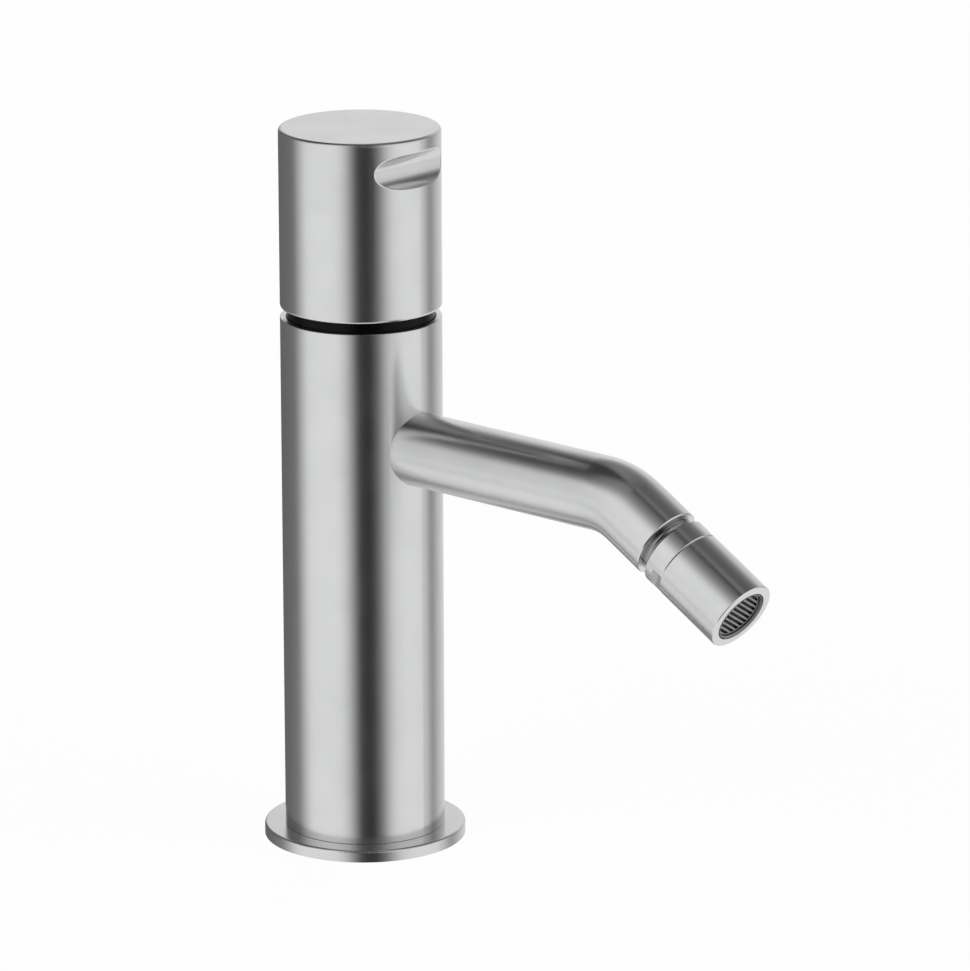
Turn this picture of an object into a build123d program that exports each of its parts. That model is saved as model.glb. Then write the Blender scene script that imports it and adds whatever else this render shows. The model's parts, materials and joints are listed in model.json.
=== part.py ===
from build123d import *
import math
import os

# A deck-mounted single-handle bidet mixer in brushed stainless steel, in millimetres.
# The origin is the centre of the flange's underside, +Z is up and +X is the way the spout points.
# The body is a steel sleeve over a brass core. The core takes two hoses and a stud from below, seats a
# ceramic-disc cartridge in a cup at its top and sends the mixed water out sideways, into the spout.
# The spout runs level, bends down and ends in a ball joint that carries a swivelling nozzle.

# Body sleeve
body_radius = 20.0
body_height = 130.75
sleeve_wall = 2.0
sleeve_rim_wall = 1.4
sleeve_edge_chamfer = 0.12

# Flange and its gasket
flange_radius = 25.2
flange_thickness = 3.0
flange_edge_fillet = 0.6
flange_lip_height = 2.0
flange_lip_wall = 2.35
flange_lip_clearance = 0.15
gasket_edge = 1.8
gasket_width = 4.4
gasket_thickness = 1.2
gasket_clearance = 0.1

# Core: inlets, stud, waterways and cartridge cup
core_clearance = 0.1
core_foot_height = 19.0
core_waist_radius = 12.5
core_head_margin = 4.0
core_top_step = 0.55
core_neck_wall = 2.65
cartridge_depth = 23.25
inlet_spread_angle = 52.0
inlet_thread_radius = 4.5
inlet_thread_depth = 14.0
stud_edge_wall = 4.0
stud_thread_radius = 3.4
stud_thread_depth = 14.0
waterway_bridge = 0.7
cup_clearance = 0.2

# Cartridge
cartridge_base_thickness = 2.5
disc_thickness = 2.0
fixed_disc_clearance = 0.15
moving_disc_room = 1.92
port_ring_share = 0.73
disc_port_share = 0.21
disc_port_lap = 0.4
disc_pocket_rim = 1.1
disc_pocket_angle = 96.0
disc_pocket_depth = 1.0
port_seal_width = 1.2
port_seal_thickness = 1.15
port_seal_clearance = 0.05
locating_peg_radius = 1.2
locating_peg_length = 2.0
locating_peg_rim = 1.1
locating_peg_angle = 104.0
locating_peg_clearance = 0.1
housing_wall = 1.68
housing_shoulder_height = 19.1
housing_shoulder_thickness = 0.6
housing_shoulder_width = 2.25
housing_neck_height = 7.9
housing_neck_wall = 1.73
spindle_clearance = 0.07
spindle_skirt_gap = 0.3
spindle_skirt_wall = 1.1
spindle_rise = 1.0
spindle_slot_travel = 1.3
spindle_slot_clearance = 0.1
spindle_seal_radius = 0.5
spindle_seal_drop = 2.0
driver_flat_depth = 1.7
driver_thickness = 4.4
driver_side_clearance = 0.1
driver_travel_room = 1.55
driver_top_gap = 0.2
pivot_rise = 21.5
pivot_pin_radius = 1.5
pivot_pin_end_gap = 0.3
pivot_pin_clearance = 0.05
lever_width_share = 0.407
lever_eye_drop = 4.0
lever_arm_radius = 1.7
lever_tip_radius = 2.0
lever_tip_height = 2.4
lever_tip_clearance = 0.1

# Cartridge nut and neck dome
nut_height = 4.8
nut_overlap = 1.3
nut_thread_clearance = 0.05
nut_bore_clearance = 0.1
nut_notch_count = 6
nut_notch_width = 3.0
nut_notch_depth = 1.8
neck_side_gap = 0.25
neck_rise = 1.75
neck_seat_depth = 6.5
neck_wall = 1.9
neck_thread_clearance = 0.05
neck_thread_height = 5.7
dome_wall = 1.48
dome_hole_radius = 9.0
dome_headroom = 3.0

# Handle
shadow_gap = 2.5
handle_height = 45.0
handle_rim_wall = 1.4
handle_crown_thickness = 16.6
handle_top_fillet = 0.9
handle_rim_fillet = 0.8
scoop_radius = 4.2
scoop_axis_overhang = 0.3
scoop_drop = 7.75
scoop_edge_fillet = 0.5
insert_height = 12.0
insert_clearance = 0.05
insert_boss_radius = 6.3
insert_boss_gap = 3.0
stem_engagement = 6.0
stem_socket_clearance = 0.05
stem_socket_headroom = 2.0
set_screw_radius = 2.45
set_screw_clearance = 0.05
set_screw_length = 9.0
set_screw_height = 4.0
hex_socket_sides = 6
hex_socket_width = 2.5
hex_socket_depth = 3.0
cap_length = 2.8
cap_recess = 0.15

# Spout
seat_bridge = 0.55
spout_radius = 9.17
spout_wall = 1.5
spout_reach = 84.5
spout_bend_radius = 20.0
spout_drop_angle = 30.0
spout_leg_length = 17.3
spout_end_chamfer = 0.25
spout_socket_wall = 1.9
spout_braze_clearance = 0.03
nipple_thread_step = 0.77
nipple_thread_length = 4.4
nipple_thread_clearance = 0.05
nipple_tail_length = 11.5
nipple_tail_clearance = 0.1
nipple_wall = 2.2
ring_section_radius = 0.65
ring_groove_clearance = 0.05
ring_inset = 3.0

# Ball joint and nozzle, placed along the nozzle's own axis from the end of the spout
groove_width = 2.6
neck_band_step = 0.08
neck_band_length = 1.0
ball_depth = 4.1
ball_waist_setback = 3.85
ball_front = 5.4
ball_clearance = 0.1
stem_bore_radius = 3.2
stem_thread_length = 9.3
stem_thread_clearance = 0.06
nozzle_step = 0.01
collar_wall = 1.58
collar_length = 5.4
collar_edge_chamfer = 0.2
collar_mouth_wall = 0.63
collar_lip_setback = 2.4
collar_spigot_length = 2.0
collar_spigot_wall = 0.65
collar_spigot_setback = 0.3
flat_half_angle = 26.0
flat_turn = -56.0
flat_length = 3.05
flat_count = 2
seam_chamfer = 0.2
nozzle_length = 19.0
nozzle_end_chamfer = 0.15
nozzle_wall = 0.73
seat_ring_thickness = 0.45
seat_ring_rear = 3.78
seat_ring_front = 5.28
seat_carrier_gap = 0.1
seat_carrier_length = 2.9
seat_carrier_clearance = 0.05
shoulder_thickness = 1.2
shoulder_width = 1.85
aerator_chamber_wall = 2.13
aerator_clearance = 0.07
aerator_wall = 1.4
aerator_gasket_thickness = 1.2
aerator_gasket_width = 1.3
aerator_rim_wall = 0.15
aerator_seam_width = 0.25
aerator_seam_depth = 1.0
grid_seat_wall = 0.8
grid_clearance = 0.03
grid_depth = 0.8
grid_front_thickness = 0.25
grid_back_thickness = 0.3
grid_rim_wall = 0.25
grid_pitch = 1.2
grid_front_bar = 0.45
grid_back_bar = 0.3
grid_turn = 58.0
grid_cross_turn = 90.0
screen_count = 2
screen_turn = 45.0
screen_thickness = 0.4
screen_gap = 0.7
screen_clearance = 0.05
screen_pitch = 1.6
screen_bar = 0.5
diffuser_thickness = 1.8
diffuser_gap = 2.2
diffuser_hole_radius = 0.6
diffuser_hole_count = 12
diffuser_edge = 1.63

# One overrun for all cuts
overrun = 1.0

# Radii of the body, from the outside in
sleeve_bore = body_radius - sleeve_wall
sleeve_rim_bore = body_radius - sleeve_rim_wall
deck_hole_radius = sleeve_bore - flange_lip_clearance - flange_lip_wall
gasket_outer_radius = flange_radius - gasket_edge
gasket_inner_radius = gasket_outer_radius - gasket_width
core_radius = sleeve_bore - core_clearance
neck_thread_radius = sleeve_rim_bore - neck_thread_clearance
core_neck_radius = neck_thread_radius - neck_wall - neck_thread_clearance
nut_thread_radius = core_neck_radius - core_neck_wall - nut_thread_clearance
cartridge_radius = nut_thread_radius - nut_overlap
cup_radius = cartridge_radius + cup_clearance
handle_bore = body_radius - handle_rim_wall
neck_radius = handle_bore - neck_side_gap

# Radii of the cartridge, from the outside in
housing_bore = cartridge_radius - housing_wall
housing_neck_bore = housing_bore - housing_shoulder_width
fixed_disc_radius = housing_bore - fixed_disc_clearance
moving_disc_radius = housing_bore - moving_disc_room
port_ring_radius = moving_disc_radius * port_ring_share
disc_port_radius = moving_disc_radius * disc_port_share
peg_ring_radius = cartridge_radius - locating_peg_radius - locating_peg_rim
spindle_radius = housing_bore - spindle_clearance
spindle_neck_radius = housing_neck_bore - spindle_clearance
driver_radius = spindle_radius - spindle_skirt_wall - driver_travel_room
driver_half_width = driver_radius - driver_flat_depth
lever_half_width = spindle_neck_radius * lever_width_share

# Radii of the spout and the nozzle, from the outside in
spout_bore = spout_radius - spout_wall
nipple_thread_radius = spout_bore - nipple_thread_step
stem_radius = spout_bore - stem_thread_clearance
nozzle_radius = spout_radius + nozzle_step
ball_radius = nozzle_radius - collar_wall - ball_clearance
aerator_chamber_radius = nozzle_radius - aerator_chamber_wall
shoulder_bore = aerator_chamber_radius - shoulder_width
insert_radius = aerator_chamber_radius - aerator_clearance
grid_radius = insert_radius - grid_seat_wall - grid_clearance
screen_radius = insert_radius - aerator_wall - screen_clearance

# Levels of the body, from the deck up
body_base = flange_thickness
body_top = body_base + body_height
core_base = body_base + flange_lip_height
seat_floor = body_top - cartridge_depth
spout_axis = seat_floor - seat_bridge - nipple_thread_clearance - nipple_thread_radius
core_top = body_top - core_top_step
neck_seat = body_top - neck_seat_depth
handle_base = body_top + shadow_gap
handle_top = handle_base + handle_height
handle_ceiling = handle_top - handle_crown_thickness

# Levels of the cartridge, from its seat up
fixed_disc_base = seat_floor + cartridge_base_thickness
moving_disc_base = fixed_disc_base + disc_thickness
driver_base = moving_disc_base + disc_thickness
driver_top = driver_base + driver_thickness
housing_shoulder = seat_floor + housing_shoulder_height
housing_top = housing_shoulder + housing_neck_height
pivot_height = seat_floor + pivot_rise
spindle_base = driver_base + spindle_skirt_gap
spindle_top = housing_top + spindle_rise
lever_tip_level = driver_base + lever_tip_height

# Levels of the handle's insides
insert_base = handle_ceiling - insert_height
stem_top = insert_base + stem_engagement
boss_base = spindle_top + insert_boss_gap
set_screw_level = insert_base + set_screw_height

# Places that follow from both
spout_socket_x = cup_radius + spout_socket_wall
stud_x = stud_thread_radius + stud_edge_wall - core_radius
neck_top = body_top + neck_rise
dome_radius = math.hypot(neck_radius, neck_top - pivot_height)

# Places along the nozzle's axis
collar_start = groove_width
ball_centre = collar_start + ball_depth
collar_end = collar_start + collar_length
carrier_start = collar_end + collar_spigot_length + seat_carrier_gap
shoulder_start = carrier_start + seat_carrier_length
chamber_start = shoulder_start + shoulder_thickness
insert_start = chamber_start + aerator_gasket_thickness
nozzle_end = collar_end + nozzle_length
grid_front = nozzle_end - grid_depth
grid_middle = grid_front - grid_front_thickness
grid_back = grid_middle - grid_back_thickness


def post(radius, low, high):
    """A round bar about Z between two heights."""
    bar = Cylinder(radius, high - low, align=(Align.CENTER, Align.CENTER, Align.MIN))
    return Pos(0, 0, low) * bar


def tube(outer, inner, low, high):
    """A round tube about Z between two heights."""
    return post(outer, low, high) - post(inner, low - overrun, high + overrun)


def turned(outline):
    """The solid that a closed outline of (radius, height) points sweeps about Z."""
    points = [(radius, 0, height) for radius, height in outline]
    face = make_face(Polyline(*points, close=True))
    return revolve(face, axis=Axis.Z)


def post_at(x, y, radius, low, high):
    """A round upright bar away from the axis."""
    return Pos(x, y, 0) * post(radius, low, high)


def bar_x(radius, start, end, height):
    """A round bar along X at a height."""
    length = end - start
    bar = Cylinder(radius, abs(length))
    return Pos(start + length / 2, 0, height) * (Rot(0, 90, 0) * bar)


def block(half_x, half_y, low, high):
    """A rectangular block about Z between two heights."""
    return Pos(0, 0, (low + high) / 2) * Box(2 * half_x, 2 * half_y, high - low)


def ball(radius, height):
    """A ball on the Z axis."""
    return Pos(0, 0, height) * Sphere(radius)


def ring_seal(section, centre_radius, height):
    """An O-ring about Z."""
    return Pos(0, 0, height) * Torus(centre_radius, section)


def along_x(piece):
    """Turns a piece made about Z so that its axis is the level axis of the spout."""
    return Pos(0, 0, spout_axis) * (Rot(0, 90, 0) * piece)


def along_nozzle(piece):
    """Moves a piece made about Z, from the spout's end, to the sloping axis of the nozzle."""
    drop = math.radians(spout_drop_angle)
    way = (math.cos(drop), 0, -math.sin(drop))
    under = (-math.sin(drop), 0, -math.cos(drop))
    corner = Vector(spout_reach, 0, spout_axis)
    end = corner + Vector(*way) * spout_leg_length
    return Plane(origin=end, x_dir=under, z_dir=way) * piece


def pair_on_ring(radius, angle):
    """Two places on a ring, one each side of the spout's plane."""
    x = radius * math.cos(math.radians(angle))
    y = radius * math.sin(math.radians(angle))
    return [(x, y), (x, -y)]


def inlet_places():
    """The hot and the cold waterway."""
    return pair_on_ring(port_ring_radius, inlet_spread_angle)


def port_places():
    """The three ports of the cartridge: two inlets, and the outlet at the back."""
    return inlet_places() + [(-port_ring_radius, 0)]


def peg_places():
    """The two pegs that keep the cartridge from turning."""
    return pair_on_ring(peg_ring_radius, locating_peg_angle)


# Base

def make_base_flange():
    """The round rose on the deck, with a centring lip inside the sleeve and a groove for the gasket."""
    plate = post(flange_radius, 0, flange_thickness)
    rim = plate.edges().filter_by(GeomType.CIRCLE).sort_by(Axis.Z)[-1]
    plate = fillet(rim, flange_edge_fillet)
    plate += post(sleeve_bore - flange_lip_clearance, flange_thickness, core_base)
    plate -= post(deck_hole_radius, -overrun, core_base + overrun)
    plate -= tube(gasket_outer_radius, gasket_inner_radius, -overrun, gasket_thickness)
    return plate


def make_base_gasket():
    """The flat rubber ring that lies in the flange's groove and meets the deck."""
    outer = gasket_outer_radius - gasket_clearance
    inner = gasket_inner_radius + gasket_clearance
    return tube(outer, inner, 0, gasket_thickness)


# Body

def make_body_sleeve():
    """The brushed tube that shows, bored out at the top for the neck dome, with a hole for the spout."""
    sleeve = tube(body_radius, sleeve_bore, body_base, body_top)
    sleeve -= post(sleeve_rim_bore, neck_seat, body_top + overrun)
    rims = sleeve.edges().filter_by(GeomType.CIRCLE).sort_by(Axis.Z)
    outer_rims = [edge for edge in rims if abs(edge.radius - body_radius) < sleeve_edge_chamfer]
    sleeve = chamfer(outer_rims, sleeve_edge_chamfer)
    hole = spout_radius + spout_braze_clearance
    return sleeve - bar_x(hole, 0, body_radius + overrun, spout_axis)


def make_waterway_core():
    """The brass casting: threaded inlets and stud hole below, drilled waterways, cartridge cup on top."""
    head_base = spout_axis - spout_radius - core_head_margin
    core = post(core_radius, core_base, core_base + core_foot_height)
    core += post(core_waist_radius, core_base + core_foot_height, head_base)
    core += post(core_radius, head_base, neck_seat)
    core += post(core_neck_radius, neck_seat, core_top)
    core -= post(cup_radius, seat_floor, core_top + overrun)
    core -= post(nut_thread_radius + nut_thread_clearance, housing_shoulder, core_top + overrun)
    for x, y in inlet_places():
        core -= post_at(x, y, disc_port_radius, core_base, seat_floor + overrun)
        core -= post_at(x, y, inlet_thread_radius, core_base - overrun, core_base + inlet_thread_depth)
    core -= post_at(stud_x, 0, stud_thread_radius, core_base - overrun, core_base + stud_thread_depth)
    core -= post_at(-port_ring_radius, 0, disc_port_radius, spout_axis, seat_floor + overrun)
    for x, y in peg_places():
        core -= post_at(x, y, locating_peg_radius + locating_peg_clearance,
                        seat_floor - locating_peg_length - locating_peg_clearance, seat_floor + overrun)
    thread_end = spout_socket_x - nipple_thread_length
    inlet_side = inlet_places()[0][1]
    outlet_bore_radius = inlet_side - disc_port_radius - waterway_bridge
    core -= bar_x(outlet_bore_radius, -port_ring_radius, spout_socket_x, spout_axis)
    core -= bar_x(nipple_thread_radius + nipple_thread_clearance, thread_end, spout_socket_x, spout_axis)
    socket = spout_radius + spout_braze_clearance
    core -= bar_x(socket, spout_socket_x, core_radius + overrun, spout_axis)
    return core


# Cartridge

def make_cartridge_base():
    """The moulded foot of the cartridge, with three ports, seal recesses and two locating pegs."""
    base = post(cartridge_radius, seat_floor, fixed_disc_base)
    for x, y in port_places():
        base -= post_at(x, y, disc_port_radius, seat_floor - overrun, fixed_disc_base + overrun)
        base -= post_at(x, y, disc_port_radius + port_seal_width + port_seal_clearance,
                        seat_floor - overrun, seat_floor + port_seal_thickness)
    for x, y in peg_places():
        base += post_at(x, y, locating_peg_radius, seat_floor - locating_peg_length, seat_floor)
    return base


def make_port_seals():
    """Three rubber rings that seal the cartridge's ports on the core."""
    outer = disc_port_radius + port_seal_width
    ring = tube(outer, disc_port_radius, seat_floor, seat_floor + port_seal_thickness)
    return Compound([Pos(x, y, 0) * ring for x, y in port_places()])


def make_fixed_disc():
    """The lower ceramic disc, with its three ports."""
    disc = post(fixed_disc_radius, fixed_disc_base, moving_disc_base)
    for x, y in port_places():
        disc -= post_at(x, y, disc_port_radius, fixed_disc_base - overrun, moving_disc_base + overrun)
    return disc


def make_cartridge_housing():
    """The moulded barrel of the cartridge, with a shoulder for the nut and a neck round the spindle."""
    barrel = post(cartridge_radius, fixed_disc_base, housing_shoulder)
    barrel += post(housing_neck_bore + housing_neck_wall, housing_shoulder, housing_top)
    barrel -= post(housing_bore, fixed_disc_base - overrun, housing_shoulder - housing_shoulder_thickness)
    return barrel - post(housing_neck_bore, fixed_disc_base, housing_top + overrun)


def make_moving_disc():
    """The upper ceramic disc. Its pocket stays over the outlet and meets the inlets as it slides."""
    disc = post(moving_disc_radius, moving_disc_base, driver_base)
    front = port_ring_radius - disc_port_radius - disc_port_lap
    pocket = post(front, moving_disc_base - overrun, moving_disc_base + disc_pocket_depth)
    sector = Cylinder(moving_disc_radius - disc_pocket_rim, overrun + disc_pocket_depth,
                      arc_size=disc_pocket_angle, align=(Align.NONE, Align.NONE, Align.MIN))
    back = Rot(0, 0, 180 - disc_pocket_angle / 2) * sector
    return disc - pocket - Pos(0, 0, moving_disc_base - overrun) * back


def make_disc_driver():
    """The carrier on the moving disc, with two guided sides and a hole for the lever's tip."""
    driver = post(driver_radius, driver_base, driver_top)
    driver &= block(driver_radius, driver_half_width, driver_base, driver_top)
    return driver - post(lever_tip_radius + lever_tip_clearance, driver_base - overrun, driver_top + overrun)


def make_spindle():
    """The part of the cartridge that turns: a skirt that guides the driver and a slotted neck."""
    skirt_top = housing_shoulder - housing_shoulder_thickness - spindle_clearance
    spindle = post(spindle_radius, spindle_base, skirt_top)
    spindle += post(spindle_neck_radius, skirt_top, spindle_top)
    room = post(driver_radius + driver_travel_room, spindle_base - overrun, driver_top + driver_top_gap)
    room &= block(spindle_radius, driver_half_width + driver_side_clearance,
                  spindle_base - overrun, driver_top + driver_top_gap)
    spindle -= room
    spindle -= block(lever_half_width + spindle_slot_travel, lever_half_width + spindle_slot_clearance,
                     spindle_base, spindle_top + overrun)
    cross_hole = Cylinder(pivot_pin_radius, 2 * (spindle_neck_radius + overrun))
    spindle -= Pos(0, 0, pivot_height) * (Rot(90, 0, 0) * cross_hole)
    groove_middle = housing_top - spindle_seal_drop
    groove = tube(spindle_neck_radius + overrun, spindle_neck_radius - 2 * spindle_seal_radius,
                  groove_middle - spindle_seal_radius, groove_middle + spindle_seal_radius)
    return spindle - groove


def make_spindle_seal():
    """The small O-ring in the spindle's neck."""
    centre = spindle_neck_radius - spindle_seal_radius
    return ring_seal(spindle_seal_radius, centre, housing_top - spindle_seal_drop)


def make_pivot_pin():
    """The steel pin on which the lever tilts."""
    length = 2 * (spindle_neck_radius - pivot_pin_end_gap)
    return Pos(0, 0, pivot_height) * (Rot(90, 0, 0) * Cylinder(pivot_pin_radius, length))


def make_lever_stem():
    """The cartridge's lever: a square stem above the pin, and an arm with a round tip below it."""
    stem = block(lever_half_width, lever_half_width, pivot_height - lever_eye_drop, stem_top)
    stem += post(lever_arm_radius, lever_tip_level, pivot_height)
    stem += ball(lever_tip_radius, lever_tip_level)
    eye = Cylinder(pivot_pin_radius + pivot_pin_clearance, 2 * (lever_half_width + overrun))
    return stem - Pos(0, 0, pivot_height) * (Rot(90, 0, 0) * eye)


def make_cartridge_nut():
    """The ring nut that holds the cartridge down in the core, with notches for its key."""
    inner = housing_neck_bore + housing_neck_wall + nut_bore_clearance
    top = housing_shoulder + nut_height
    nut = tube(nut_thread_radius, inner, housing_shoulder, top)
    step = 360 / nut_notch_count
    cutter = Box(2 * nut_notch_width, nut_notch_width, 2 * nut_notch_depth)
    notch = Pos(nut_thread_radius, 0, top) * cutter
    for index in range(nut_notch_count):
        nut -= Rot(0, 0, index * step) * notch
    return nut


def dome_arc(radius, start, end):
    """The arc of a section through the dome, about the pivot, between two distances from the axis."""
    reaches = (start, (start + end) / 2, end)
    levels = [pivot_height + math.sqrt(radius ** 2 - reach ** 2) for reach in reaches]
    return ThreePointArc(*[(reach, 0, level) for reach, level in zip(reaches, levels)])


def make_neck_dome():
    """The gloss black ring in the shadow gap, closed above by a dome round the handle's pivot."""
    inner = neck_thread_radius - neck_wall
    thread_top = neck_seat + neck_thread_height
    outer_arc = dome_arc(dome_radius, neck_radius, dome_hole_radius)
    inner_arc = dome_arc(dome_radius - dome_wall, dome_hole_radius, inner)
    foot = Polyline(inner_arc @ 1, (inner, 0, neck_seat), (neck_thread_radius, 0, neck_seat),
                    (neck_thread_radius, 0, thread_top), (neck_radius, 0, thread_top), outer_arc @ 0)
    hole = Line(outer_arc @ 1, inner_arc @ 0)
    dome = revolve(make_face(foot + outer_arc + hole + inner_arc), axis=Axis.Z)
    return dome - post(dome_radius, insert_base - dome_headroom, handle_top)


# Handle

def make_handle_knob():
    """The tall round handle: hollow below, solid at the top, with the finger scoop over the spout."""
    knob = post(body_radius, handle_base, handle_top)
    ends = knob.edges().filter_by(GeomType.CIRCLE).sort_by(Axis.Z)
    knob = fillet(ends[-1], handle_top_fillet)
    rim = knob.edges().filter_by(GeomType.CIRCLE).sort_by(Axis.Z)[0]
    knob = fillet(rim, handle_rim_fillet)
    knob -= post(handle_bore, handle_base - overrun, handle_ceiling)
    scoop = Cylinder(scoop_radius, 2 * (body_radius + overrun))
    scoop_level = handle_top - scoop_drop
    knob -= Pos(body_radius + scoop_axis_overhang, 0, scoop_level) * (Rot(90, 0, 0) * scoop)
    lip = scoop_radius + scoop_edge_fillet
    edges = knob.edges().filter_by_position(Axis.Z, scoop_level - lip, scoop_level + lip)
    knob = fillet(edges, scoop_edge_fillet)
    hole = set_screw_radius + set_screw_clearance
    return knob - bar_x(hole, -body_radius - overrun, 0, set_screw_level)


def make_handle_insert():
    """The brass plug inside the handle, with a square socket for the stem and a set-screw thread."""
    insert = post(handle_bore - insert_clearance, insert_base, handle_ceiling)
    insert += post(insert_boss_radius, boss_base, insert_base)
    side = lever_half_width + stem_socket_clearance
    insert -= block(side, side, boss_base - overrun, stem_top + stem_socket_headroom)
    hole = set_screw_radius + set_screw_clearance
    return insert - bar_x(hole, -body_radius, 0, set_screw_level)


def make_set_screw():
    """The grub screw that clamps the handle on the stem, driven from behind."""
    inner_end = -lever_half_width
    outer_end = inner_end - set_screw_length
    screw = bar_x(set_screw_radius, outer_end, inner_end, set_screw_level)
    hexagon = RegularPolygon(hex_socket_width / 2, hex_socket_sides, major_radius=False)
    socket = extrude(hexagon, hex_socket_depth + overrun)
    return screw - Pos(outer_end - overrun, 0, set_screw_level) * (Rot(0, 90, 0) * socket)


def make_screw_cap():
    """The small plug that closes the set screw's hole at the back of the handle."""
    face = body_radius - cap_recess
    plug = bar_x(set_screw_radius, -body_radius, cap_length - body_radius, set_screw_level)
    return plug & post(face, handle_base, handle_top)


# Spout

def make_spout_tube():
    """The bent tube, brazed into the body, level first and then falling to the nozzle."""
    drop = math.radians(spout_drop_angle)
    corner = Vector(spout_reach, 0, spout_axis)
    end = corner + Vector(math.cos(drop), 0, -math.sin(drop)) * spout_leg_length
    start = Vector(spout_socket_x, 0, spout_axis)
    path = FilletPolyline(start, corner, end, radius=spout_bend_radius)
    section = Plane(origin=start, x_dir=(0, 1, 0), z_dir=(1, 0, 0)) * Circle(spout_radius)
    bore = Plane(origin=start, x_dir=(0, 1, 0), z_dir=(1, 0, 0)) * Circle(spout_bore)
    pipe = sweep(section, path=path)
    end_edge = pipe.edges().filter_by(GeomType.CIRCLE).sort_by(Axis.X)[-1]
    pipe = chamfer(end_edge, spout_end_chamfer)
    return pipe - sweep(bore, path=path)


def grooved_tail(radius, bore, groove_start, low, high):
    """A hollow round tail with one O-ring groove."""
    depth = 2 * ring_section_radius + ring_groove_clearance
    width = 2 * (ring_section_radius + ring_groove_clearance)
    tail = tube(radius, bore, low, high)
    groove = tube(radius + overrun, radius - depth, groove_start, groove_start + width)
    return tail - groove


def make_spout_nipple():
    """The threaded tail that joins the core's outlet to the inside of the spout."""
    start = spout_socket_x - nipple_thread_length + nipple_tail_clearance
    high = spout_socket_x + nipple_tail_length
    bore = nipple_thread_radius - nipple_wall
    groove_start = high - ring_inset
    tail = grooved_tail(spout_bore - nipple_tail_clearance, bore, groove_start, spout_socket_x, high)
    tail += tube(nipple_thread_radius, bore, start, spout_socket_x)
    return along_x(tail)


def make_spout_o_ring():
    """The O-ring on the spout's nipple."""
    centre = spout_bore - nipple_tail_clearance - ring_section_radius
    middle = spout_socket_x + nipple_tail_length - ring_inset + ring_section_radius + ring_groove_clearance
    return along_x(ring_seal(ring_section_radius, centre, middle))


# Ball joint

def make_ball_stem():
    """The polished neck band and ball, screwed into the end of the spout and drilled for water."""
    waist = math.sqrt(ball_radius ** 2 - ball_waist_setback ** 2)
    waist_place = ball_centre - ball_waist_setback
    band = ball_radius - neck_band_step
    neck = turned([(0, 0), (band, 0), (band, neck_band_length),
                   (waist, waist_place), (0, waist_place)])
    head = ball(ball_radius, ball_centre) & post(ball_radius, waist_place, ball_centre + ball_front)
    groove_start = ring_inset - stem_thread_length
    tail = grooved_tail(stem_radius, stem_bore_radius, groove_start, -stem_thread_length, 0)
    stem = neck + head - post(stem_bore_radius, -overrun, ball_centre + ball_radius)
    return along_nozzle(stem + tail)


def make_stem_o_ring():
    """The O-ring between the ball stem and the spout."""
    centre = stem_radius - ring_section_radius
    middle = ring_inset - stem_thread_length + ring_section_radius + ring_groove_clearance
    return along_nozzle(ring_seal(ring_section_radius, centre, middle))


def make_ball_seat_ring():
    """The low-friction ring that seals on the front of the ball."""
    inner = ball_radius + ball_clearance
    shell = ball(inner + seat_ring_thickness, ball_centre) - ball(inner, ball_centre)
    low = ball_centre + seat_ring_rear
    return along_nozzle(shell & post(ball_radius + nozzle_radius, low, ball_centre + seat_ring_front))


def make_seat_carrier():
    """The cup behind the seat ring, which lets the ring tilt inside the nozzle."""
    bore = ball_radius + 2 * ball_clearance + seat_ring_thickness
    outer = nozzle_radius - nozzle_wall - seat_carrier_clearance
    cup = post(outer, carrier_start, shoulder_start)
    cup -= ball(bore, ball_centre)
    return along_nozzle(cup - post(shoulder_bore, carrier_start, shoulder_start + overrun))


def collar_hollow():
    """The inside of the collar: flared mouth, lip round the ball, ball pocket and open spigot."""
    pocket = ball_radius + ball_clearance
    lip = math.sqrt(pocket ** 2 - collar_lip_setback ** 2)
    lip_place = ball_centre - collar_lip_setback
    mouth = nozzle_radius - collar_mouth_wall
    flare = turned([(0, collar_start), (mouth, collar_start), (lip, lip_place), (0, lip_place)])
    hollow = flare + (ball(pocket, ball_centre) & post(pocket, lip_place, ball_centre + overrun))
    spigot_end = collar_end + collar_spigot_length
    hollow += post(pocket, ball_centre, collar_end)
    spigot_bore = nozzle_radius - nozzle_wall - collar_spigot_wall
    return hollow + post(spigot_bore, collar_end - collar_spigot_setback, spigot_end + overrun)


def wrench_flat(turn):
    """The wedge of metal that one spanner flat takes off the collar."""
    reach = nozzle_radius * math.cos(math.radians(flat_half_angle))
    start = collar_end - flat_length
    cutter = Box(nozzle_radius, 2 * nozzle_radius, flat_length + overrun,
                 align=(Align.MIN, Align.CENTER, Align.MIN))
    return Rot(0, 0, turn) * (Pos(reach, 0, start) * cutter)


def make_retaining_collar():
    """The ring that traps the ball, with two spanner flats, screwed into the nozzle's housing."""
    ring = post(nozzle_radius, collar_start, collar_end)
    ends = ring.edges().filter_by(GeomType.CIRCLE).sort_by(Axis.Z)
    ring = chamfer(ends[-1], seam_chamfer)
    edge = ring.edges().filter_by(GeomType.CIRCLE).sort_by(Axis.Z)[0]
    ring = chamfer(edge, collar_edge_chamfer)
    for index in range(flat_count):
        ring -= wrench_flat(flat_turn + index * 360 / flat_count)
    spigot = nozzle_radius - nozzle_wall - seat_carrier_clearance
    ring += post(spigot, collar_end - collar_spigot_setback, collar_end + collar_spigot_length)
    return along_nozzle(ring - collar_hollow())


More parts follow.
